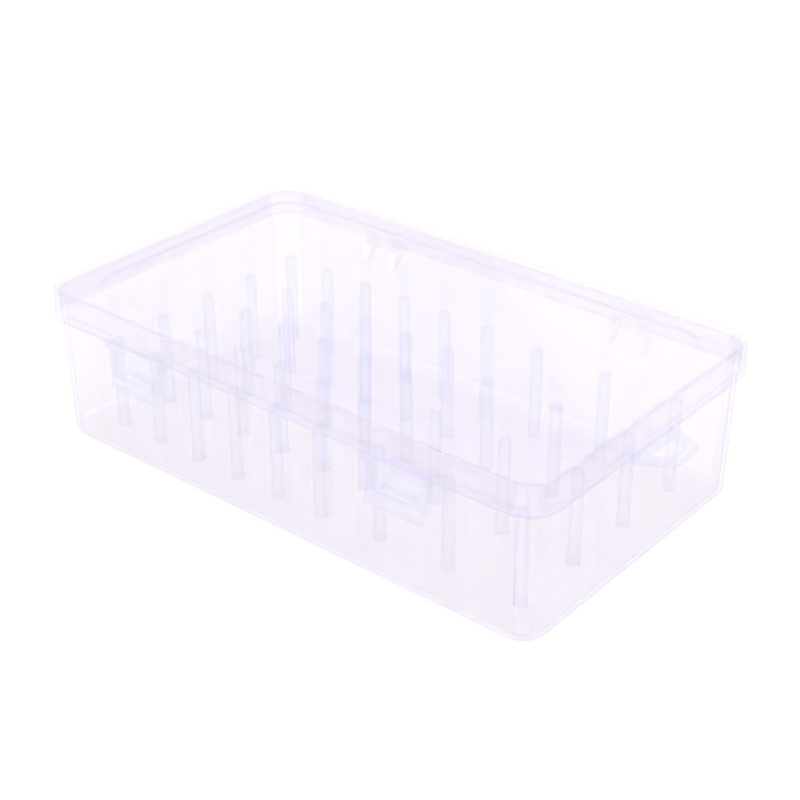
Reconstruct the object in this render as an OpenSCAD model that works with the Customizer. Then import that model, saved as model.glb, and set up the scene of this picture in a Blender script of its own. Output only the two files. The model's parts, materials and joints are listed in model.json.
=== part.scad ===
// Clear hinged storage box whose floor carries two fields of spool pegs.
// Origin: centre of the flat underside. +X runs along the length, -Y is the latch side.

/* [Case] */
// Length over the lid
case_length = 245; // [200:1:320]
// Width over the lid
case_width = 144; // [140:1:200]
// Height of the closed box
case_height = 67; // [55:1:100]
// Radius of the lid's upright corners
corner_radius = 13; // [9:0.5:20]

/* [Lid] */
// Thickness of the lid's top
lid_top = 1.8; // [1.2:0.1:3]
// Thickness of the lid's skirt
lid_wall = 1.6; // [1.2:0.1:2.4]
// Height of the skirt, from the top face to its lower edge
skirt_height = 13.4; // [10:0.1:20]
// Radius that rounds the lid's top edge
lid_edge_round = 2; // [1:0.1:3]
// Height of the bead along the skirt's lower edge
bead_height = 4; // [2:0.5:6]
// How far the bead stands out of the skirt
bead_proud = 0.5; // [0.3:0.1:1]
// Distance from the lid's edge to the sunk panel
panel_inset = 15; // [8:0.5:30]
// Corner radius of the sunk panel
panel_radius = 10; // [4:0.5:20]
// Depth of the sunk panel
panel_sink = 0.8; // [0.4:0.1:1.2]
// Side gap between the skirt and the tub's rim
lid_clearance = 0.5; // [0.3:0.1:1]
// Gap between the tub's rim and the lid's underside
rim_gap = 0.4; // [0.3:0.1:1]

/* [Tub] */
// Thickness of the tub's walls
tub_wall = 1.6; // [1.2:0.1:2.4]
// Thickness of the tub's floor
tub_floor = 1.8; // [1.4:0.1:3]
// How much narrower the tub's foot is than its rim, on each side
tub_draft = 1.1; // [0:0.1:3]
// Radius of the tub's upright corners at the foot
foot_radius = 10; // [6:0.5:14]
// Radius that rounds the tub's lower edge
foot_round = 3; // [2:0.5:5]

/* [Pegs] */
// Diameter of a peg
peg_diameter = 5; // [3:0.1:8]
// Height of the peg tips above the table
peg_tip_height = 42.5; // [25:0.5:48]
// Diameter of the spigot that roots a peg in the floor
spigot_diameter = 4; // [2:0.1:4.8]
// Floor left under a peg's spigot
socket_floor = 0.8; // [0.6:0.1:1]

/* [Small spool field] */
// Rows in the small field
small_rows = 5; // [5]
// Column spacing along the box
small_pitch = 22; // [18:0.5:30]
// Row spacing across the box
small_row_pitch = 26; // [18:0.5:26]
// Distance from the end wall to the first column
small_margin = 16; // [10:0.5:30]

/* [Large spool field] */
// Columns in the large field
large_columns = 3; // [1:1:3]
// Rows in the large field
large_rows = 4; // [4]
// Column spacing along the box
large_pitch = 32.5; // [24:0.5:34]
// Row spacing across the box
large_row_pitch = 33; // [24:0.5:34]
// Distance from the end wall to the last column
large_margin = 16; // [10:0.5:30]
// Least distance between the two fields' nearest columns
field_gap = 27; // [20:0.5:40]

/* [Hinges] */
// Distance between the two hinges
hinge_spacing = 128; // [80:1:150]
// Outer radius of a hinge knuckle
knuckle_radius = 2.8; // [2.4:0.1:4]
// Diameter of a hinge pin
pin_diameter = 2.5; // [1.6:0.1:3]
// Length of the lid's knuckle
lid_knuckle = 9.8; // [6:0.1:16]
// Length of each of the tub's knuckles
tub_knuckle = 4.5; // [3:0.1:8]
// Gap between neighbouring knuckles
knuckle_gap = 0.3; // [0.2:0.1:0.6]
// Distance from the lid's back face to the hinge axis
hinge_reach = 3.2; // [3.1:0.1:5]
// Drop from the skirt's lower edge to the hinge axis
hinge_drop = 2.6; // [2:0.1:4]
// Radial running clearance of pins and pivots
running_clearance = 0.05; // [0.02:0.01:0.1]
// How far the lid swings open, in degrees
lid_opening = 115; // [90:1:120]

/* [Latches] */
// Distance between the two latches
latch_spacing = 130; // [80:1:150]
// Width of a latch
latch_width = 26; // [18:0.5:36]
// Length of a latch below its pivot
latch_length = 17.5; // [16:0.5:24]
// Thickness of a latch's plate
latch_plate = 1.6; // [1.2:0.1:2.4]
// Diameter of a latch's pivot stubs
stub_diameter = 2.1; // [1.6:0.1:2.6]
// Height of the latch pivot above the skirt's lower edge
pivot_rise = 1.4; // [1.2:0.1:2]
// Width of a lid ear beside a latch
ear_width = 2.5; // [2:0.1:4]
// Gap between moving latch faces and the lid
latch_clearance = 0.3; // [0.2:0.05:0.6]
// Width of the catch ledge on the tub
ledge_width = 14; // [8:0.5:20]
// Thickness of the catch ledge
ledge_thickness = 1.8; // [1.2:0.1:3]
// Overlap of hook and ledge when latched
hook_bite = 1.5; // [0.8:0.1:2]

/* [End loop] */
// How far the loop stands out of the end wall
loop_reach = 15; // [12:0.5:24]
// Width of the loop at the wall
loop_base = 29; // [20:0.5:40]
// Width of the loop at its outer end
loop_tip = 17; // [12:0.5:28]
// Width of the loop's bars
loop_bar = 4; // [3:0.5:6]
// Thickness of the loop
loop_thickness = 2.6; // [2:0.1:4]

/* [Hidden] */

$fn = 48;
overlap = 0.4;            // how far joined features sink into each other
through = 1;              // how far cuts run past a face
slice = 0.1;              // thin slices that a hull spans

clear_plastic = [0.93, 0.92, 0.98, 0.45];
clip_plastic = [0.90, 0.90, 0.99, 0.6];
peg_plastic = [0.88, 0.89, 0.99, 0.7];

// Lid
skirt_length = case_length - 2 * bead_proud;
skirt_width = case_width - 2 * bead_proud;
skirt_radius = corner_radius - bead_proud;
skirt_bottom = case_height - skirt_height;
lid_cavity_length = skirt_length - 2 * lid_wall;
lid_cavity_width = skirt_width - 2 * lid_wall;
lid_cavity_radius = skirt_radius - lid_wall;

// Tub
rim_length = lid_cavity_length - 2 * lid_clearance;
rim_width = lid_cavity_width - 2 * lid_clearance;
rim_radius = lid_cavity_radius - lid_clearance;
rim_height = case_height - lid_top - rim_gap;
foot_length = rim_length - 2 * tub_draft;
foot_width = rim_width - 2 * tub_draft;
function tub_half_width(z) = rim_width / 2 - tub_draft * (rim_height - z) / rim_height;
function tub_half_length(z) = rim_length / 2 - tub_draft * (rim_height - z) / rim_height;

// Pegs
spigot_end_gap = 0.1;
small_first = -(foot_length / 2 - tub_wall) + small_margin;
large_last = foot_length / 2 - tub_wall - large_margin;
large_first = large_last - (large_columns - 1) * large_pitch;
small_columns = floor((large_first - field_gap - small_first) / small_pitch) + 1;
function small_x(i) = small_first + i * small_pitch;
function large_x(i) = large_first + i * large_pitch;
function row_y(row, rows, pitch) = (row - (rows - 1) / 2) * pitch;

// Hinges
hinge_y = case_width / 2 + hinge_reach;
hinge_z = skirt_bottom - hinge_drop;
hinge_wall_gap = hinge_y - tub_half_width(hinge_z);
hinge_half = lid_knuckle / 2 + knuckle_gap + tub_knuckle;
gusset_drop = 9;
arm_thickness = 1.6;
stop_half = 1;
stop_gap = 0.3;
stop_length = hinge_wall_gap + 0.2;
stop_radius = norm([stop_length, stop_half]);
stop_angle = acos(-(hinge_wall_gap - stop_gap) / stop_radius) - atan(stop_half / stop_length) - lid_opening;

// Latches
barrel_radius = latch_plate;
latch_y = -(case_width / 2 + barrel_radius + latch_clearance);
latch_z = skirt_bottom + pivot_rise;
ear_radius = stub_diameter / 2 + 1;
stub_length = latch_clearance + ear_width - 0.5;
hook_drop = 10.8;
hook_height = 1.9;
ledge_bottom = latch_z - hook_drop + latch_clearance;
ledge_reach = 3;
latch_wall_gap = -latch_y - tub_half_width(ledge_bottom);
hook_reach = latch_wall_gap - ledge_reach + hook_bite;
hook_nose = 0.6;
hook_width = ledge_width + 2;
lip_height = 4.5;
lip_flare = 1.4;
grip_top = hook_drop;
grip_height = 1.2;
grip_proud = 0.7;
cheek_thickness = 1.4;
cheek_gap = 0.9;
cheek_reach = latch_wall_gap - cheek_gap;
cheek_top = 2.3;
cheek_bottom = latch_length - 3;
cheek_round = 8;
rib_height = 1.4;
rib_front = 0.3;
rib_bottom = latch_z + barrel_radius + 0.7;

// Loop
loop_gap = 0.6;
loop_top = skirt_bottom - loop_gap;
pad_margin = 0.6;
pad_face = rim_length / 2 + 0.2;
loop_inner_round = 1;

// ---- Shared shapes ----

// Places its children at the four corner centres of a rounded rectangle
module at_corners(length, width, radius) {
    for (sx = [-1, 1], sy = [-1, 1])
        translate([sx * (length / 2 - radius), sy * (width / 2 - radius), 0])
            children();
}

// Block with upright rounded corners
module rounded_block(length, width, radius, height) {
    at_corners(length, width, radius)
        cylinder(r = radius, h = height);
    translate([radius - length / 2, -width / 2, 0])
        cube([length - 2 * radius, width, height]);
    translate([-length / 2, radius - width / 2, 0])
        cube([length, width - 2 * radius, height]);
}

// Ring that rounds an edge inside a hull
module edge_ring(radius, round) {
    rotate_extrude()
        translate([radius - round, 0])
            circle(r = round, $fn = 24);
}

// Tub body: rounded lower edge, wider at the top
module drafted_body(top_l, top_w, top_r, foot_l, foot_w, foot_r, round, height) {
    hull() {
        translate([0, 0, round])
            at_corners(foot_l, foot_w, foot_r)
                edge_ring(foot_r, round);
        translate([0, 0, height - slice])
            at_corners(top_l, top_w, top_r)
                cylinder(r = top_r, h = slice);
    }
}

// Prism along X: a profile in the Y-Z plane, centred on x = 0
module prism_x(points, width) {
    translate([-width / 2, 0, 0])
        rotate([90, 0, 90])
            linear_extrude(width)
                polygon(points);
}

// Cylinder along X, centred on x = 0
module rod_x(radius, length) {
    rotate([0, 90, 0])
        cylinder(r = radius, h = length, center = true);
}

// Places its children at both of a pair of stations along X
module at_pair(spacing) {
    for (side = [-1, 1])
        translate([side * spacing / 2, 0, 0])
            children();
}

// ---- Tub ----

module peg_positions() {
    for (row = [0 : small_rows - 1], i = [0 : small_columns - 1])
        translate([small_x(i), row_y(row, small_rows, small_row_pitch), 0])
            children();
    for (row = [0 : large_rows - 1], i = [0 : large_columns - 1])
        translate([large_x(i), row_y(row, large_rows, large_row_pitch), 0])
            children();
}

// One of the tub's hinge knuckles with the gusset that carries it
module tub_knuckle_body() {
    wall_y = tub_half_width(hinge_z) - overlap - hinge_y;
    rod_x(knuckle_radius, tub_knuckle);
    prism_x([
        [wall_y, -gusset_drop],
        [wall_y, 0],
        [0, 0],
        [0, -knuckle_radius]
    ], tub_knuckle);
}

module tub_hinge() {
    step = lid_knuckle / 2 + knuckle_gap + tub_knuckle / 2;
    translate([0, hinge_y, hinge_z])
        at_pair(2 * step)
            tub_knuckle_body();
}

// Ledge that a latch's hook catches
module catch_ledge() {
    wall_y = tub_half_width(ledge_bottom);
    translate([-ledge_width / 2, -wall_y - ledge_reach, ledge_bottom])
        cube([ledge_width, ledge_reach + overlap, ledge_thickness]);
}

// Flat pad on the end wall that carries the loop
module loop_pad() {
    wall_x = tub_half_length(loop_top - loop_thickness) - overlap;
    translate([wall_x, -loop_base / 2, loop_top - loop_thickness - pad_margin])
        cube([pad_face - wall_x, loop_base, loop_thickness + pad_margin]);
}

module tub() {
    color(clear_plastic)
    difference() {
        union() {
            difference() {
                drafted_body(rim_length, rim_width, rim_radius,
                    foot_length, foot_width, foot_radius, foot_round, rim_height);
                translate([0, 0, tub_floor])
                    drafted_body(rim_length - 2 * tub_wall, rim_width - 2 * tub_wall, rim_radius - tub_wall,
                        foot_length - 2 * tub_wall, foot_width - 2 * tub_wall, foot_radius - tub_wall,
                        foot_round - tub_wall, rim_height - tub_floor + through);
            }
            at_pair(hinge_spacing)
                tub_hinge();
            at_pair(latch_spacing)
                catch_ledge();
            loop_pad();
        }
        peg_positions()
            translate([0, 0, socket_floor])
                cylinder(d = spigot_diameter, h = tub_floor);
        translate([0, hinge_y, hinge_z])
            at_pair(hinge_spacing)
                rod_x(pin_diameter / 2, 2 * hinge_half + through);
    }
}

// ---- Lid ----

module lid_shell() {
    difference() {
        union() {
            hull() {
                translate([0, 0, case_height - lid_edge_round])
                    at_corners(skirt_length, skirt_width, skirt_radius)
                        edge_ring(skirt_radius, lid_edge_round);
                translate([0, 0, skirt_bottom])
                    at_corners(skirt_length, skirt_width, skirt_radius)
                        cylinder(r = skirt_radius, h = slice);
            }
            translate([0, 0, skirt_bottom])
                rounded_block(case_length, case_width, corner_radius, bead_height);
        }
        difference() {
            translate([0, 0, skirt_bottom - through])
                rounded_block(lid_cavity_length, lid_cavity_width, lid_cavity_radius,
                    skirt_height - lid_top + through);
            translate([0, 0, case_height - lid_top - panel_sink])
                lid_panel(panel_inset - lid_top, panel_radius + lid_top, lid_top);
        }
        translate([0, 0, case_height - panel_sink])
            lid_panel(panel_inset, panel_radius, panel_sink + through);
    }
}

// Block with the outline of the sunk panel
module lid_panel(inset, radius, height) {
    rounded_block(case_length - 2 * inset, case_width - 2 * inset, radius, height);
}

// The lid's hinge knuckle, its arm and the lug that stops it against the tub
module lid_hinge() {
    arm_y = skirt_width / 2 - overlap - hinge_y;
    arm_top = hinge_drop + bead_height;
    translate([0, hinge_y, hinge_z]) {
        rod_x(knuckle_radius, lid_knuckle);
        prism_x([
            [arm_y, hinge_drop],
            [arm_y, arm_top],
            [arm_y + arm_thickness, arm_top],
            [knuckle_radius, 0],
            [0, 0]
        ], lid_knuckle);
        rotate([-stop_angle, 0, 0])
            translate([-lid_knuckle / 4, 0, -stop_half])
                cube([lid_knuckle / 2, stop_length, 2 * stop_half]);
    }
}

// Two ears and a stop rib that carry one latch
module latch_ears() {
    ear_step = latch_width / 2 + latch_clearance + ear_width / 2;
    root = -latch_y - skirt_width / 2 + overlap;
    rib_top = rib_bottom + rib_height - latch_z;
    rib_length = 2 * ear_step + ear_width;
    translate([0, latch_y, latch_z]) {
        at_pair(2 * ear_step) {
            rod_x(ear_radius, ear_width);
            prism_x([
                [0, -ear_radius],
                [root, -ear_radius],
                [root, rib_top],
                [rib_front, rib_top],
                [-ear_radius, 0]
            ], ear_width);
        }
        prism_x([
            [rib_front, rib_bottom - latch_z],
            [root, rib_bottom - latch_z],
            [root, rib_top],
            [rib_front, rib_top]
        ], rib_length);
    }
}

module lid() {
    color(clear_plastic)
    difference() {
        union() {
            lid_shell();
            at_pair(hinge_spacing)
                lid_hinge();
            at_pair(latch_spacing)
                latch_ears();
        }
        translate([0, hinge_y, hinge_z])
            at_pair(hinge_spacing)
                rod_x(pin_diameter / 2 + running_clearance, lid_knuckle + through);
        translate([0, latch_y, latch_z])
            at_pair(latch_spacing)
                rod_x(stub_diameter / 2 + running_clearance, latch_width + 4 * ear_width);
    }
}

// ---- Latches ----

// Side cheek: a quarter-round web between the plate and the wall
module latch_cheek() {
    intersection() {
        prism_x([
            [-latch_plate, -cheek_top],
            [cheek_reach, -cheek_top],
            [cheek_reach, -cheek_bottom],
            [-latch_plate, -cheek_bottom]
        ], cheek_thickness);
        translate([0, -latch_plate, -cheek_top])
            rod_x(norm([cheek_reach, cheek_round]) + 1, cheek_thickness);
    }
}

module latch() {
    color(clip_plastic)
    translate([0, latch_y, latch_z]) {
        rod_x(barrel_radius, latch_width);
        rod_x(stub_diameter / 2, latch_width + 2 * stub_length);
        prism_x([
            [0, 0],
            [0, lip_height - latch_length],
            [-lip_flare, -latch_length],
            [-lip_flare - latch_plate, -latch_length],
            [-latch_plate, lip_height - latch_length],
            [-latch_plate, 0]
        ], latch_width);
        prism_x([
            [-latch_plate / 2, -grip_top],
            [-latch_plate - grip_proud, -grip_top],
            [-latch_plate - grip_proud, -grip_top - grip_height],
            [-latch_plate / 2, -grip_top - grip_height]
        ], latch_width);
        prism_x([
            [-latch_plate / 2, -hook_drop],
            [hook_reach, -hook_drop],
            [hook_reach, -hook_drop - hook_nose],
            [0, -hook_drop - hook_height],
            [-latch_plate / 2, -hook_drop - hook_height]
        ], hook_width);
        at_pair(latch_width - cheek_thickness)
            latch_cheek();
    }
}

module latch_left() {
    translate([-latch_spacing / 2, 0, 0])
        latch();
}

module latch_right() {
    translate([latch_spacing / 2, 0, 0])
        latch();
}

// ---- Hinge pins ----

module hinge_pin(side) {
    color(clip_plastic)
    translate([side * hinge_spacing / 2, hinge_y, hinge_z])
        rod_x(pin_diameter / 2, 2 * hinge_half);
}

// ---- End loop ----

// Tapered loop, rounded outside and inside
module end_loop() {
    near = loop_bar / 2;
    far = loop_reach - loop_bar / 2;
    base = (loop_base - loop_bar) / 2;
    tip = (loop_tip - loop_bar) / 2;
    ring = [[near, -base], [far, -tip], [far, tip], [near, base]];
    color(clip_plastic)
    translate([pad_face, 0, loop_top - loop_thickness])
        linear_extrude(loop_thickness)
            difference() {
                offset(r = loop_bar / 2)
                    polygon(ring);
                offset(r = loop_inner_round)
                    offset(delta = -loop_bar / 2 - loop_inner_round)
                        polygon(ring);
            }
}

// ---- Pegs ----

// Peg with a spigot below and a round tip
module peg() {
    radius = peg_diameter / 2;
    spigot_bottom = socket_floor + spigot_end_gap;
    translate([0, 0, spigot_bottom])
        cylinder(d = spigot_diameter, h = tub_floor - spigot_bottom + overlap);
    translate([0, 0, tub_floor])
        cylinder(r = radius, h = peg_tip_height - radius - tub_floor);
    translate([0, 0, peg_tip_height - radius])
        sphere(r = radius);
}

module small_pegs(row) {
    color(peg_plastic)
    for (i = [0 : small_columns - 1])
        translate([small_x(i), row_y(row - 1, small_rows, small_row_pitch), 0])
            peg();
}

module large_pegs(row) {
    color(peg_plastic)
    for (i = [0 : large_columns - 1])
        translate([large_x(i), row_y(row - 1, large_rows, large_row_pitch), 0])
            peg();
}

tub();
lid();
latch_left();
latch_right();
hinge_pin(-1);  // hinge_pin_left
hinge_pin(1);  // hinge_pin_right
end_loop();
small_pegs(1);  // small_pegs_row_1
small_pegs(2);  // small_pegs_row_2
small_pegs(3);  // small_pegs_row_3
small_pegs(4);  // small_pegs_row_4
small_pegs(5);  // small_pegs_row_5
large_pegs(1);  // large_pegs_row_1
large_pegs(2);  // large_pegs_row_2
large_pegs(3);  // large_pegs_row_3
large_pegs(4);  // large_pegs_row_4
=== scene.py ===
"""Clear peg box: fine moulded shells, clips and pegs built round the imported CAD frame."""
import json
import math
import bmesh
import bpy
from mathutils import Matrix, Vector


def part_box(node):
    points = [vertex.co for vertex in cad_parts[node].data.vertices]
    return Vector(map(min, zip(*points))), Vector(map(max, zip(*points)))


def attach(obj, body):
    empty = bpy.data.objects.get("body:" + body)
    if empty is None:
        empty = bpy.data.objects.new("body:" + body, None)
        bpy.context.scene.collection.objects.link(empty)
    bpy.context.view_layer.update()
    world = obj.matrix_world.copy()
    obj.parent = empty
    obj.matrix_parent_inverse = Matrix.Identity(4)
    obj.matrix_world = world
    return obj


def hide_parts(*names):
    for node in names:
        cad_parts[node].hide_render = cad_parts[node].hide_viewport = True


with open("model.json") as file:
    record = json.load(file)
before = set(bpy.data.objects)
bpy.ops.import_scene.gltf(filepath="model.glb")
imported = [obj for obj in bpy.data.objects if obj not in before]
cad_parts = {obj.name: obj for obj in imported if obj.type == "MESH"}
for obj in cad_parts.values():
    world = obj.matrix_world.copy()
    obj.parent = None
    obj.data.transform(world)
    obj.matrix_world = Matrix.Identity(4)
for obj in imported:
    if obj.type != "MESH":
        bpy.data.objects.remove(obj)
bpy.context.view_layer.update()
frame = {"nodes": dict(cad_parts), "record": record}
MM = 0.001
slot_of = {s["node"]: s["material_slot"] for s in frame["record"]["subparts"]}


# ---- Sizes in mm. The ends come from the frame, the walls repeat the CAD source ----

def box_mm(node):
    lo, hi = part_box(node)
    return Vector(lo) / MM, Vector(hi) / MM


lid_hi = box_mm("lid")[1]
tub_hi = box_mm("tub")[1]
pin_lo, pin_hi = box_mm("hinge_pin_left")
loop_lo, loop_hi = box_mm("end_loop")

# Lid
TOP = lid_hi.z
HALF_X = lid_hi.x
HALF_Y = 72.0
PROUD = 0.5
SKIRT_X, SKIRT_Y, SKIRT_R = HALF_X - PROUD, HALF_Y - PROUD, 12.5
SKIRT_Z = 53.6
BEAD = 4.0
LID_TOP, LID_WALL = 1.8, 1.6
PANEL_IN, PANEL_R, SINK = 15.0, 10.0, 0.8
TOP_ROUND = 2
NIB_PROUD, NIB_WIDTH, NIB_LOW, NIB_HIGH = 0.35, 2.2, 53.8, 56.2

# Tub
RIM_Z = tub_hi.z
RIM_X, RIM_Y, RIM_R = 119.9, 69.4, 10.4
DRAFT = 1.1
FOOT_R = 10.0
FOOT_ROUND = 3.0
INNER_ROUND = 1.4
WALL, FLOOR = 1.6, 1.8
SINK_IN = 0.4

# Hinges
HINGE_Y, HINGE_Z = (pin_lo.y + pin_hi.y) / 2, (pin_lo.z + pin_hi.z) / 2
HINGE_X = -(pin_lo.x + pin_hi.x) / 2
PIN_R = (pin_hi.z - pin_lo.z) / 2
KNUCKLE_R = 2.8
LID_KNUCKLE, TUB_KNUCKLE, KNUCKLE_GAP = 4.9, 2.25, 0.3
GUSSET_DROP = 9
ARM_LOW, ARM_THICK = 2.6, 1.6
OPENING = 115
RUNNING_GAP = 0.05

# Latches and the ledges that they catch
LATCH_Y, LATCH_Z, LATCH_X = -73.9, 55.0, 65.0
LATCH_HALF = 13.0
LEDGE_LOW, LEDGE_HIGH, LEDGE_REACH, LEDGE_HALF = 44.5, 46.3, 3, 7
HOOK_BITE, HOOK_TOP, HOOK_LOW, HOOK_HALF = 1.5, -10.8, -12.7, 8
PLATE = 1.6
CHEEK_HALF, CHEEK_GAP = 0.7, 0.9
STUB_R, STUB_HOLE_R = 1.05, 1.1
EAR_HALF, EAR_GAP, EAR_R = 1.25, 0.3, 2.05

# Loop's pad on the tub
PAD_X, PAD_HALF, PAD_LOW, PAD_HIGH = 120.1, 14.5, 49.8, 53.0


# ---- Mesh helpers ----

def steps(n, end=math.pi / 2):
    """n + 1 even steps from 0 to end."""
    return [end * i / n for i in range(n + 1)]


def arc(r, degrees):
    """Points of a circle at these angles."""
    return [(r * math.cos(math.radians(a)), r * math.sin(math.radians(a))) for a in degrees]


def circle(n):
    """Cosine and sine of n even turns."""
    return [(math.cos(2 * math.pi * k / n), math.sin(2 * math.pi * k / n)) for k in range(n)]


def new_object(name, bm):
    bmesh.ops.recalc_face_normals(bm, faces=bm.faces)
    me = bpy.data.meshes.new(name)
    for v in bm.verts:
        v.co *= MM
    bm.to_mesh(me)
    bm.free()
    o = bpy.data.objects.new(name, me)
    bpy.context.scene.collection.objects.link(o)
    return o


def rounded_rect(hx, hy, r, n=14, support=0.4):
    """Points round a rounded rectangle, with one more point just outside each corner's arc."""
    pts = []
    for sx, sy, start in ((1, 1, 0), (-1, 1, 90), (-1, -1, 180), (1, -1, 270)):
        cx, cy = sx * (hx - r), sy * (hy - r)
        angles = [math.radians(start + 90 * i / n) for i in range(n + 1)]
        bend = [(cx + r * math.cos(a), cy + r * math.sin(a)) for a in angles]
        a, b = angles[0], angles[-1]
        pts.append((bend[0][0] + support * math.sin(a), bend[0][1] - support * math.cos(a)))
        pts += bend
        pts.append((bend[-1][0] - support * math.sin(b), bend[-1][1] + support * math.cos(b)))
    return pts


def skin(bm, loops, capped=True, closed=False):
    """Faces between loops of (x, y, z) points that all have the same count."""
    rows = [[bm.verts.new(p) for p in loop] for loop in loops]
    pairs = list(zip(rows, rows[1:])) + ([(rows[-1], rows[0])] if closed else [])
    for a, b in pairs:
        for i in range(len(a)):
            j = (i + 1) % len(a)
            bm.faces.new((a[i], a[j], b[j], b[i]))
    if capped:
        bm.faces.new(rows[0])
        bm.faces.new(rows[-1])


def skin_object(loops, name="part", capped=True, closed=False):
    bm = bmesh.new()
    skin(bm, loops, capped, closed)
    return new_object(name, bm)


def step_curve(x0, z0, x1, z1, n=8):
    """Smooth S from one point to another."""
    return [(x0 + (x1 - x0) * t, z0 + (z1 - z0) * t * t * (3 - 2 * t)) for t in steps(n, 1)]


def prism(points, x0, x1, bevel=0.25, segments=2):
    """A profile in the Y-Z plane drawn out along X, its hard edges rounded."""
    hard_angle = math.radians(28)
    bm = bmesh.new()
    a = [bm.verts.new((x0, y, z)) for y, z in points]
    b = [bm.verts.new((x1, y, z)) for y, z in points]
    bm.faces.new(a)
    bm.faces.new(list(reversed(b)))
    for i in range(len(points)):
        j = (i + 1) % len(points)
        bm.faces.new((a[j], a[i], b[i], b[j]))
    bmesh.ops.recalc_face_normals(bm, faces=bm.faces)
    hard = [e for e in bm.edges if e.calc_face_angle(0) > hard_angle]
    bmesh.ops.bevel(bm, geom=hard, offset=bevel, segments=segments, profile=0.5,
                    affect="EDGES", clamp_overlap=True)
    return new_object("part", bm)


def latch_prism(points, middle, half, bevel, segments=2):
    """A prism from (y, z) points given from the latches' pivot."""
    placed = [(LATCH_Y + y, LATCH_Z + z) for y, z in points]
    return prism(placed, middle - half, middle + half, bevel, segments)


def rod(r, x0, x1, y, z, round_end=0.3, n=40):
    """A round bar along X with rounded ends."""
    turns = (0, math.pi / 6, math.pi / 3, math.pi / 2)
    ends = [(r, 0)]
    if round_end:
        ends = [(r - round_end + round_end * math.sin(t), round_end * (1 - math.cos(t))) for t in turns]
    stations = [(q, x0 + d) for q, d in ends] + [(q, x1 - d) for q, d in reversed(ends)]
    return skin_object([[(x, y + q * c, z + q * s) for c, s in circle(n)] for q, x in stations])


def bore(r, middle, half, y, z):
    """A round bar to cut a hole with, half of it on each side of its middle."""
    return rod(r, middle - half, middle + half, y, z, 0)


def merge(base, others, operation="UNION"):
    """Joins or cuts solids and leaves one clean mesh."""
    for o in others:
        m = base.modifiers.new("merge", "BOOLEAN")
        m.operation, m.solver, m.object = operation, "EXACT", o
        dg = bpy.context.evaluated_depsgraph_get()
        me = bpy.data.meshes.new_from_object(base.evaluated_get(dg))
        base.modifiers.clear()
        base.data = me
        bpy.data.objects.remove(o)
    return base


# ---- Materials ----

IOR = 1.49
RIPPLE_SCALE, RIPPLE_DEPTH = 22, 0.00004
GRAIN_SCALE, GRAIN_DEPTH = 900, 0.000004


def clear_plastic(name, clear, shadow, body, rough, haze):
    """Clear moulded polypropylene: a faint haze, ripples from moulding, a fine grain and uneven gloss.
    clear colours the light that goes straight through one face, and shadow its shade.
    body is the share that is bent, mirrored or scattered; it shrinks at a glancing angle as painted shade
    that cuts the gloss at the silhouettes.
    At a glancing angle the path in the wall is longer and takes more colour, and painted shade deepens that
    colour further, drawing darker outlines at the silhouettes."""
    m = bpy.data.materials.new(name)
    m.use_nodes = True
    nt = m.node_tree

    def fill(node, inputs):
        for key, value in inputs.items():
            socket = node.inputs[key.replace("_", " ")]
            if isinstance(value, bpy.types.NodeSocket):
                nt.links.new(value, socket)
            else:
                socket.default_value = value

    def add(kind, **inputs):
        node = nt.nodes.new(kind)
        fill(node, inputs)
        return node

    def ramp(source, low, low_colour, high, high_colour):
        node = add("ShaderNodeValToRGB", Fac=source)
        first, second = node.color_ramp.elements
        first.position, second.position = low, high
        first.color, second.color = (*low_colour, 1), (*high_colour, 1)
        return node.outputs["Color"]

    def scale(source, from_min, from_max, to_min, to_max):
        node = add("ShaderNodeMapRange", Value=source, From_Min=from_min, From_Max=from_max,
                   To_Min=to_min, To_Max=to_max)
        return node.outputs["Result"]

    def mix(share, first, second):
        node = nt.nodes.new("ShaderNodeMixShader")
        for socket, source in zip(node.inputs, (share, first, second)):
            nt.links.new(source, socket)
        return node.outputs[0]

    where = add("ShaderNodeTexCoord").outputs["Object"]
    big = add("ShaderNodeTexNoise", Vector=where, Scale=RIPPLE_SCALE, Detail=2).outputs["Fac"]
    fine = add("ShaderNodeTexNoise", Vector=where, Scale=GRAIN_SCALE, Detail=3).outputs["Fac"]
    ripple = add("ShaderNodeBump", Distance=RIPPLE_DEPTH, Strength=1, Height=big).outputs["Normal"]
    grain = add("ShaderNodeBump", Distance=GRAIN_DEPTH, Strength=1, Height=fine, Normal=ripple)
    tint = [c * c for c in clear]
    pale = [min(1, c * 1.004) for c in tint]
    principled = nt.nodes["Principled BSDF"]
    fill(principled, {
        "IOR": IOR,
        "Transmission Weight": 1 - haze,
        "Base Color": ramp(big, 0.35, [c * 0.995 for c in tint], 0.7, pale),
        "Roughness": scale(fine, 0.3, 0.7, rough * 0.75, rough * 1.3),
        "Normal": grain.outputs["Normal"],
    })
    slant = add("ShaderNodeLayerWeight", Blend=0.5).outputs["Facing"]
    # Partly the longer path's colour and partly painted shade: the tint is deepened and the gloss share cut
    # at the silhouettes, which draws darker outlines there.
    long_path_and_outline_shade = (clear[0] * 0.86, clear[1] * 0.86, clear[2] * 0.96)
    straight = add("ShaderNodeBsdfTransparent", Color=ramp(slant, 0.6, clear, 0.97, long_path_and_outline_shade))
    wall = mix(scale(slant, 0.75, 1.0, body, body * 0.3), straight.outputs[0], principled.outputs[0])
    shade = add("ShaderNodeBsdfTransparent", Color=(*shadow, 1))
    in_shadow = add("ShaderNodeLightPath").outputs["Is Shadow Ray"]
    nt.links.new(mix(in_shadow, wall, shade.outputs[0]), nt.nodes["Material Output"].inputs["Surface"])
    return m


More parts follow.
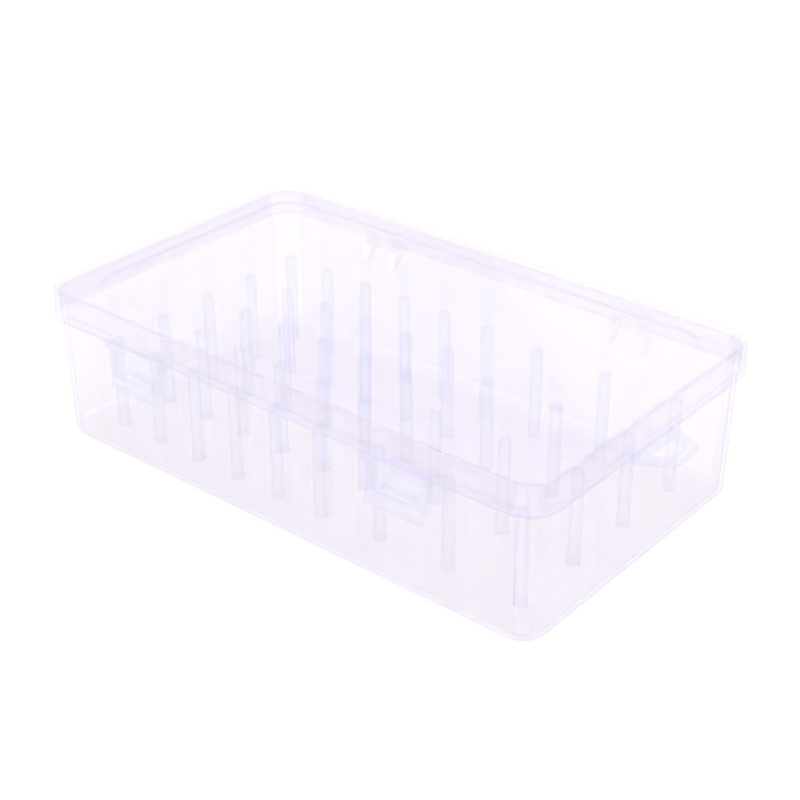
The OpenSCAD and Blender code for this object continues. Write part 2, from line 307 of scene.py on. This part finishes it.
# For each slot: the light one face lets straight through, its shade, the body share, roughness and haze.
LOOKS = {
    "clear_shell": ((0.986, 0.977, 0.984), (0.993, 0.990, 0.993), 0.16, 0.03, 0.08),
    "clear_lid": ((0.983, 0.974, 0.999), (0.994, 0.990, 0.998), 0.15, 0.03, 0.08),
    "clear_clip": ((0.973, 0.974, 0.999), (0.975, 0.97, 0.99), 0.15, 0.05, 0.45),
    "clear_peg": ((0.972, 0.982, 0.999), (0.965, 0.960, 0.98), 0.12, 0.05, 0.45),
}
# Painted shade: faces on rounded edges, bevels and the skirt's underside take this darker tint, which draws
# darker lines along the edges.
EDGE_SHADE_TINT = (0.952, 0.956, 0.999)
HINGE_LOOK = (0.995, 0.993, 0.999), (0.995, 0.990, 0.998), 0.07, 0.03, 0.02
# Painted shade: the sunk panel's step takes this much darker tint, which draws a dark line round the panel.
STEP_SHADE_LOOK = (0.915, 0.92, 0.99), (0.99, 0.985, 0.99), 0.15, 0.03, 0.08
hinge_plastic = clear_plastic("hinge_plastic", *HINGE_LOOK)
step_painted_shade = clear_plastic("step_painted_shade", *STEP_SHADE_LOOK)
FINISHES = {}
for slot, (clear, *rest) in LOOKS.items():
    plain = clear_plastic(slot + "_plastic", clear, *rest)
    # The second finish carries the painted edge shade, a darker tint for rounded edges and bevels.
    edge = clear_plastic(slot + "_painted_edge_shade", [a * b for a, b in zip(clear, EDGE_SHADE_TINT)], *rest)
    FINISHES[slot] = [plain, edge, hinge_plastic, step_painted_shade]
PLAIN, ROUNDED_EDGE_SHADE, HINGE_OR_EAR, PANEL_STEP_SHADE = range(4)


def face_look(node, at, up):
    """Which of a piece's finishes a face takes, from its centre in mm and how far it looks up or down.
    Rounded edges, bevels and the skirt's underside take the painted edge shade, and the sunk panel's step
    takes the painted step shade.
    """
    outside, step_half, lip = HALF_Y + 0.2, 0.7, 0.5
    steep, slanted, flat = 0.5, 0.88, 0.985
    if at.y > outside or (node == "lid" and at.y < -outside):
        return HINGE_OR_EAR
    panel_x, panel_y = HALF_X - PANEL_IN + step_half, HALF_Y - PANEL_IN + step_half
    in_panel = abs(at.x) < panel_x and abs(at.y) < panel_y
    # The sunk panel's step takes the painted step shade.
    if node == "lid" and in_panel and at.z > TOP - SINK and abs(up) < flat:
        return PANEL_STEP_SHADE
    under_skirt = node == "lid" and up < -steep and at.z < SKIRT_Z + lip
    return ROUNDED_EDGE_SHADE if steep < abs(up) < slanted or under_skirt else PLAIN


def finish_piece(o, name, node, body, angle=32):
    """Names and paints a piece, and lets it stand for its CAD node."""
    o.name = name
    o.data.name = name
    o.data.materials.clear()
    for material in FINISHES[slot_of[node]]:
        o.data.materials.append(material)
    for face in o.data.polygons:
        face.material_index = face_look(node, face.center / MM, face.normal.z)
    o.data.shade_smooth()
    o.data.set_sharp_from_angle(angle=math.radians(angle))
    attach(o, body)
    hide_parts(node)


# ---- Tub ----

def tub_loop(inset, z):
    """The tub's outline at a height, moved inwards."""
    grow = z / RIM_Z
    hx, hy = RIM_X - DRAFT * (1 - grow) - inset, RIM_Y - DRAFT * (1 - grow) - inset
    r = FOOT_R + (RIM_R - FOOT_R) * grow - inset
    return [(x, y, z) for x, y in rounded_rect(hx, hy, max(r, 1.0))]


def tub_wall_y(z):
    """Where the drafted back wall's outer face is at a height."""
    return RIM_Y - DRAFT * (1 - z / RIM_Z)


def build_tub():
    lip, near = 0.5, 0.3
    levels = (20, 45, RIM_Z - lip - near)
    # (inset, height) from the underside's edge, up outside, over the rim and down inside
    st = [(FOOT_ROUND + near, 0.0)]
    st += [(FOOT_ROUND * (1 - math.sin(t)), FOOT_ROUND * (1 - math.cos(t))) for t in steps(9)]
    st += [(0, FOOT_ROUND + near)] + [(0, z) for z in levels]
    st += [(lip - lip * math.cos(t), RIM_Z - lip + lip * math.sin(t)) for t in steps(5)]
    st += [(WALL - lip + lip * math.sin(t), RIM_Z - lip + lip * math.cos(t)) for t in steps(5)]
    st += [(WALL, z) for z in reversed(levels)] + [(WALL, FLOOR + INNER_ROUND + near)]
    st += [(WALL + INNER_ROUND * (1 - math.cos(t)), FLOOR + INNER_ROUND * (1 - math.sin(t)))
           for t in steps(7)]
    st += [(WALL + INNER_ROUND + near, FLOOR)]
    tub = skin_object([tub_loop(i, z) for i, z in st], "tub_shell")
    parts, cuts = [], []
    wall_y = tub_wall_y(HINGE_Z) - SINK_IN - HINGE_Y
    gusset = [(wall_y, -GUSSET_DROP), (wall_y, 0), (0, 0), (0, -KNUCKLE_R)]
    pin_cut = 12
    y = -tub_wall_y(LEDGE_LOW)
    ledge = [(y - LEDGE_REACH, LEDGE_LOW), (y + SINK_IN, LEDGE_LOW),
             (y + SINK_IN, LEDGE_HIGH), (y - LEDGE_REACH, LEDGE_HIGH)]
    for s in (-1, 1):
        for k in (-1, 1):
            x = s * HINGE_X + k * (LID_KNUCKLE + KNUCKLE_GAP + TUB_KNUCKLE)
            parts.append(knuckle(x, TUB_KNUCKLE, gusset))
        cuts.append(bore(PIN_R, s * HINGE_X, pin_cut, HINGE_Y, HINGE_Z))
        parts.append(prism(ledge, s * LATCH_X - LEDGE_HALF, s * LATCH_X + LEDGE_HALF, 0.3))
    x0, bevel = RIM_X - DRAFT * (1 - loop_lo.z / RIM_Z) - SINK_IN, 0.2
    pad = []
    for x, e in ((x0, 0), (PAD_X - bevel, 0), (PAD_X, bevel)):
        half, low = PAD_HALF - e, PAD_LOW + e
        pad.append([(x, -half, low), (x, half, low), (x, half, PAD_HIGH), (x, -half, PAD_HIGH)])
    parts.append(skin_object(pad))
    merge(tub, parts)
    merge(tub, cuts, "DIFFERENCE")
    finish_piece(tub, "tub_shell", "tub", "case")


def knuckle(x, half, web):
    """A hinge knuckle with the web that carries it."""
    body = rod(KNUCKLE_R, x - half, x + half, HINGE_Y, HINGE_Z, 0.25)
    web_part = prism([(HINGE_Y + y, HINGE_Z + z) for y, z in web], x - half + 0.15, x + half - 0.15, 0.2)
    return merge(body, [web_part])


# ---- Lid ----

def skirt_loop(d, z):
    """The skirt's outline moved outwards by d."""
    return [(x, y, z) for x, y in rounded_rect(SKIRT_X + d, SKIRT_Y + d, SKIRT_R + d)]


def panel_loop(d, z):
    """The sunk panel's outline moved outwards by d."""
    return [(x, y, z) for x, y in rounded_rect(HALF_X - PANEL_IN + d, HALF_Y - PANEL_IN + d, PANEL_R + d)]


def lid_loops():
    """Loops from the sunk panel out over the edge, down the skirt, round its lower edge and back inside.
    The plain numbers place loops just beside the roundings, so that shading stays even on the flats."""
    slope, lip, under_lip, inner = 0.55, 0.5, 0.3, 0.8
    bead_top, under = SKIRT_Z + BEAD, TOP - LID_TOP
    loops = [panel_loop(-1.0, TOP - SINK)]
    loops += [panel_loop(d, z) for d, z in step_curve(-slope, TOP - SINK, slope, TOP)]
    loops += [panel_loop(1.0, TOP), skirt_loop(-TOP_ROUND - 0.4, TOP)]
    loops += [skirt_loop(-TOP_ROUND + TOP_ROUND * math.sin(t), TOP - TOP_ROUND + TOP_ROUND * math.cos(t))
              for t in steps(8)]
    loops += [skirt_loop(0, TOP - TOP_ROUND - 0.3), skirt_loop(0, bead_top + 0.7)]
    loops += [skirt_loop(PROUD * t * t * (3 - 2 * t), bead_top + 0.4 - 0.6 * t) for t in steps(6, 1)]
    loops += [skirt_loop(PROUD, bead_top - 0.5), skirt_loop(PROUD, SKIRT_Z + 0.8)]
    loops += [skirt_loop(PROUD - lip + lip * math.cos(t), SKIRT_Z + lip - lip * math.sin(t))
              for t in steps(5)]
    loops += [skirt_loop(-LID_WALL + under_lip - under_lip * math.sin(t),
                         SKIRT_Z + under_lip - under_lip * math.cos(t)) for t in steps(4)]
    loops += [skirt_loop(-LID_WALL, SKIRT_Z + 0.6), skirt_loop(-LID_WALL, under - 1.1)]
    loops += [skirt_loop(-LID_WALL - inner * (1 - math.cos(t)), under - inner + inner * math.sin(t))
              for t in steps(6)]
    loops += [skirt_loop(-LID_WALL - 1.1, under), panel_loop(LID_TOP + 0.9, under)]
    loops += [panel_loop(LID_TOP + d, z) for d, z in step_curve(slope, under, -slope, under - SINK)]
    return loops + [panel_loop(LID_TOP - 1.0, under - SINK)]


def build_lid():
    lid = skin_object(lid_loops(), "lid_shell")
    parts, cuts = [], []
    arm_y, arm_top = SKIRT_Y - SINK_IN - HINGE_Y, ARM_LOW + BEAD
    arm = [(arm_y, ARM_LOW), (arm_y, arm_top), (arm_y + ARM_THICK, arm_top), (KNUCKLE_R, 0), (0, 0)]
    pin_cut, stub_cut = 6, 18
    for s in (-1, 1):
        parts.append(merge(knuckle(s * HINGE_X, LID_KNUCKLE, arm), [stop_lug(s * HINGE_X)]))
        cuts.append(bore(PIN_R + RUNNING_GAP, s * HINGE_X, pin_cut, HINGE_Y, HINGE_Z))
        parts += latch_ears(s * LATCH_X)
        cuts.append(bore(STUB_HOLE_R, s * LATCH_X, stub_cut, LATCH_Y, LATCH_Z))
    y0, y1 = -SKIRT_Y - PROUD - NIB_PROUD, -SKIRT_Y - PROUD + SINK_IN
    parts.append(prism([(y0, NIB_LOW), (y1, NIB_LOW), (y1, NIB_HIGH), (y0, NIB_HIGH)], -NIB_WIDTH, 0, 0.25))
    merge(lid, parts)
    merge(lid, cuts, "DIFFERENCE")
    finish_piece(lid, "lid_shell", "lid", "lid")


def stop_lug(x):
    """The lug that meets the tub's back wall when the lid is fully open."""
    wall_gap = HINGE_Y - tub_wall_y(HINGE_Z)
    half, stop_gap = 1, 0.3
    length = wall_gap + 0.2
    reach = math.hypot(length, 1.0)
    angle = math.acos(-(wall_gap - stop_gap) / reach) - math.atan2(1.0, length) - math.radians(OPENING)
    c, s = math.cos(-angle), math.sin(-angle)
    pts = [(0, -half), (length, -half), (length, half), (0, half)]
    return prism([(HINGE_Y + y * c - z * s, HINGE_Z + y * s + z * c) for y, z in pts],
                 x - LID_KNUCKLE / 2, x + LID_KNUCKLE / 2, 0.25)


def latch_ears(x):
    """Two ears and the rib above them, all one moulding with the lid."""
    root = -LATCH_Y - SKIRT_Y + SINK_IN
    rib_low = PLATE + 0.7
    rib_high = rib_low + 1.4
    parts = []
    profile = [(root, -EAR_R), (root, rib_high), (0.9, rib_high), (0.3, rib_high - 0.3)]
    profile += arc(EAR_R, range(150, 271, 12))
    for k in (-1, 1):
        c = x + k * (LATCH_HALF + EAR_GAP + EAR_HALF)
        parts.append(latch_prism(profile, c, EAR_HALF, 0.3, 3))
    full = LATCH_HALF + EAR_GAP + 2.0
    rib = [(0.4, rib_low), (root, rib_low), (root, rib_high - 0.1), (0.4, rib_high - 0.1)]
    parts.append(latch_prism(rib, x, full, 0.3, 3))
    return parts


# ---- Latches ----

def latch_profile():
    """(y, z) from the pivot: barrel, outer face with its grip ridge, flared lip and inner face."""
    r = PLATE
    plate_top, plate_low, inside_top, inside_low = -0.4, -9.6, -1.6, -12.0
    ridge_z, ridge_long, ridge_out = -10.2, 2.4, 0.7
    flare_z, flare_long, flare_out = -13.0, 4.1, 1.4
    lip_r, lip_deep, lip_z = 0.8, 0.4, -17.1
    lip_y = -r - flare_out + lip_r
    outer = [(-r, plate_top), (-r, plate_low)]
    outer += [(-r - ridge_out * math.sin(t) ** 2, ridge_z - ridge_long * t / math.pi)
              for t in steps(10, math.pi)]
    flare = [(-r - flare_out * t * t * (3 - 2 * t), flare_z - flare_long * t) for t in steps(8, 1)]
    turns = [math.radians(a) for a in range(200, 341, 20)]
    tip = [(lip_y + lip_r * math.cos(t), lip_z + lip_deep * math.sin(t)) for t in turns]
    inside = [(y + r, z) for y, z in reversed(flare)] + [(0, inside_low), (0, inside_top)]
    return arc(r, range(-60, 181, 12)) + outer + flare + tip + inside


def build_latch(side):
    x, r = side * LATCH_X, PLATE
    plate = latch_prism(latch_profile(), x, LATCH_HALF, 0.3, 3)
    gap = -LATCH_Y - tub_wall_y(LEDGE_LOW)
    reach = gap - LEDGE_REACH + HOOK_BITE
    hook = [(-0.8, HOOK_TOP), (reach, HOOK_TOP), (reach, -11.4), (0, HOOK_LOW), (-0.8, HOOK_LOW)]
    parts = [latch_prism(hook, x, HOOK_HALF, 0.2)]
    web_top, web_bend, web_drop = -2.3, -6.5, 8.0
    cheek_in, out = gap - CHEEK_GAP, -r + 0.1
    web = [(out, web_top), (cheek_in, web_top)]
    web += [(out + (cheek_in + r - 0.1) * math.cos(t), web_bend - web_drop * math.sin(t)) for t in steps(8)]
    # A low raised rim down each side of the plate's outer face
    flange = [(-r + 0.2, -1.2), (-r - 0.5, -2.0), (-r - 0.5, -12.6), (-r + 0.2, -13.4)]
    stub_in, stub_out = 12, 15.3
    for k in (-1, 1):
        c = x + k * (LATCH_HALF - CHEEK_HALF)
        parts.append(latch_prism(web, c, CHEEK_HALF, 0.2))
        parts.append(latch_prism(flange, c, CHEEK_HALF, 0.25, 3))
        ends = sorted((x + k * stub_in, x + k * stub_out))
        parts.append(rod(STUB_R, *ends, LATCH_Y, LATCH_Z, 0.2))
    merge(plate, parts)
    node = "latch_right" if side > 0 else "latch_left"
    finish_piece(plate, node + "_clip", node, node)


# ---- Hinge pins, loop and pegs ----

def build_pins():
    for node in ("hinge_pin_left", "hinge_pin_right"):
        lo, hi = box_mm(node)
        pin = rod(PIN_R - 0.01, lo.x, hi.x, HINGE_Y, HINGE_Z, 0.35)
        finish_piece(pin, node + "_rod", node, "case")


def around(centres, r, n=8):
    """Points of a convex polygon's outline, moved outwards by r with round corners."""
    pts, count = [], len(centres)
    for i, c in enumerate(centres):
        before, after = centres[i - 1], centres[(i + 1) % count]
        a0 = math.atan2(c[1] - before[1], c[0] - before[0]) - math.pi / 2
        a1 = math.atan2(after[1] - c[1], after[0] - c[0]) - math.pi / 2
        while a1 < a0:
            a1 += 2 * math.pi
        turns = [a0 + (a1 - a0) * k / n for k in range(n + 1)]
        pts += [(c[0] + r * math.cos(a), c[1] + r * math.sin(a)) for a in turns]
    return pts


def inset_polygon(centres, d):
    """A convex polygon's corners, each side moved inwards by d."""
    out, count = [], len(centres)
    for i, c in enumerate(centres):
        before, after = Vector(centres[i - 1]), Vector(centres[(i + 1) % count])
        c = Vector(c)
        e0, e1 = (c - before).normalized(), (after - c).normalized()
        n0, n1 = Vector((-e0.y, e0.x)), Vector((-e1.y, e1.x))
        bisector = (n0 + n1).normalized()
        out.append(tuple(c + bisector * (d / bisector.dot(n0))))
    return out


def build_loop():
    bar, edge, tip = 4.0, 0.8, 6.5
    half_bar, corner = 2, 1
    x0, z0, z1 = loop_lo.x, loop_lo.z, loop_hi.z
    reach, base = loop_hi.x - x0, (loop_hi.y - loop_lo.y - bar) / 2
    inner_x, outer_x = x0 + half_bar, x0 + reach - half_bar
    ring = [(inner_x, -base), (outer_x, -tip), (outer_x, tip), (inner_x, base)]
    hole = inset_polygon(ring, bar / 2 + corner)
    low, high = (z0, 1), (z1, -1)
    loops = []
    # Once round the bar's section: outside from low to high, then inside from high to low
    for (z, up), turns, outside in ((low, steps(5)[::-1], True), (high, steps(5), True),
                                    (high, steps(5)[::-1], False), (low, steps(5), False)):
        for t in turns:
            at = z + up * edge * (1 - math.sin(t))
            if outside:
                outline = around(ring, half_bar - edge + edge * math.cos(t))
            else:
                outline = around(hole, corner + edge - edge * math.cos(t))
            loops.append([(x, y, at) for x, y in outline])
    loop = skin_object(loops, capped=False, closed=True)
    finish_piece(loop, "end_loop_bar", "end_loop", "case")


def build_pegs():
    foot, flare, foot_in, tip_slim = FLOOR + 0.02, 0.5, 0.15, 0.06
    for node in sorted(n for n in frame["nodes"] if "_pegs_row_" in n):
        lo, hi = box_mm(node)
        count = 6 if node.startswith("small") else 3
        r = (hi.y - lo.y) / 2
        y = (lo.y + hi.y) / 2
        first, last = lo.x + r, hi.x - r
        # (radius, height) from the foot's centre out, up the flare and over the round tip
        st = [(0.4, foot), (r + flare - foot_in, foot)]
        st += [(r + flare * (1 - math.sin(t)), foot + flare * (1 - math.cos(t))) for t in steps(4)]
        st += [(r, foot + 1.2), (r - tip_slim, hi.z - r - 0.4)]
        st += [((r - tip_slim) * math.cos(t), hi.z - r + r * math.sin(t)) for t in steps(9)[:-1]]
        bm = bmesh.new()
        for i in range(count):
            x = first + (last - first) * i / (count - 1)
            skin(bm, [[(x + q * c, y + q * s, z) for c, s in circle(32)] for q, z in st])
        finish_piece(new_object("part", bm), node + "_posts", node, "case", 50)


build_tub()
build_lid()
build_latch(-1)
build_latch(1)
build_pins()
build_loop()
build_pegs()


# ---- Stage ----

# Name, place in metres, side in metres and power in watts
LIGHTS = (("key", (-1.0, -0.6, 1.9), 1.0, 8), ("fill", (0.75, -0.85, 1.15), 0.12, 1.8))
LIGHTS_AIM = (0, 0, 0.03)
# The floor is a hair under the box, so that their faces don't coincide
FLOOR_HALF, FLOOR_Z, FLOOR_WHITE, FLOOR_ROUGH = 4.0, -0.0003, 0.96, 0.7
# The photo's view, from a camera fitted to the box's outline: angles in degrees, metres and pixels of 800
AZIMUTH, ELEVATION = 39.559, 29.2378
AWAY, CENTRE_Z = 0.67262, 0.0338
FOCAL, FRAME, ACROSS, DOWN = 1693.3, 800, -10.264, -15.9176
SENSOR = 36


def build_floor():
    me = bpy.data.meshes.new("floor")
    s = FLOOR_HALF
    me.from_pydata([(-s, -s, 0), (s, -s, 0), (s, s, 0), (-s, s, 0)], [], [(0, 1, 2, 3)])
    o = bpy.data.objects.new("floor", me)
    o.location.z = FLOOR_Z
    bpy.context.scene.collection.objects.link(o)
    m = bpy.data.materials.new("floor_paint")
    m.use_nodes = True
    b = m.node_tree.nodes["Principled BSDF"]
    b.inputs["Base Color"].default_value = (FLOOR_WHITE, FLOOR_WHITE, FLOOR_WHITE, 1)
    b.inputs["Roughness"].default_value = FLOOR_ROUGH
    me.materials.append(m)


def build_light():
    w = bpy.data.worlds.new("studio")
    bpy.context.scene.world = w
    w.use_nodes = True
    bg = w.node_tree.nodes["Background"]
    bg.inputs["Color"].default_value = (1, 1, 1, 1)
    bg.inputs["Strength"].default_value = 1.0
    for name, loc, size, power in LIGHTS:
        light = bpy.data.lights.new(name, "AREA")
        light.energy, light.size = power, size
        o = bpy.data.objects.new(name, light)
        bpy.context.scene.collection.objects.link(o)
        o.location = loc
        o.rotation_euler = (Vector(LIGHTS_AIM) - Vector(loc)).to_track_quat("-Z", "Y").to_euler()


def build_camera():
    az, el = math.radians(AZIMUTH), math.radians(ELEVATION)
    look = Vector((-math.sin(az) * math.cos(el), math.cos(az) * math.cos(el), -math.sin(el)))
    right = Vector((math.cos(az), math.sin(az), 0))
    up = right.cross(look)
    cam = bpy.data.cameras.new("camera")
    cam.sensor_width = SENSOR
    cam.lens = FOCAL / FRAME * SENSOR
    cam.clip_start, cam.clip_end = 0.01, 20
    o = bpy.data.objects.new("camera", cam)
    across, down = ACROSS * AWAY / FOCAL, DOWN * AWAY / FOCAL
    o.location = -look * AWAY - right * across + up * down + Vector((0, 0, CENTRE_Z))
    o.rotation_euler = look.to_track_quat("-Z", "Y").to_euler()
    bpy.context.scene.collection.objects.link(o)
    bpy.context.scene.camera = o


build_floor()
build_light()
build_camera()
scene = bpy.context.scene
scene.view_settings.view_transform = "Standard"
# A ray to the back of the box crosses many clear faces, and too few bounces would turn them black
scene.cycles.transparent_max_bounces = 48
scene.cycles.max_bounces = 20
scene.cycles.transmission_bounces = 20
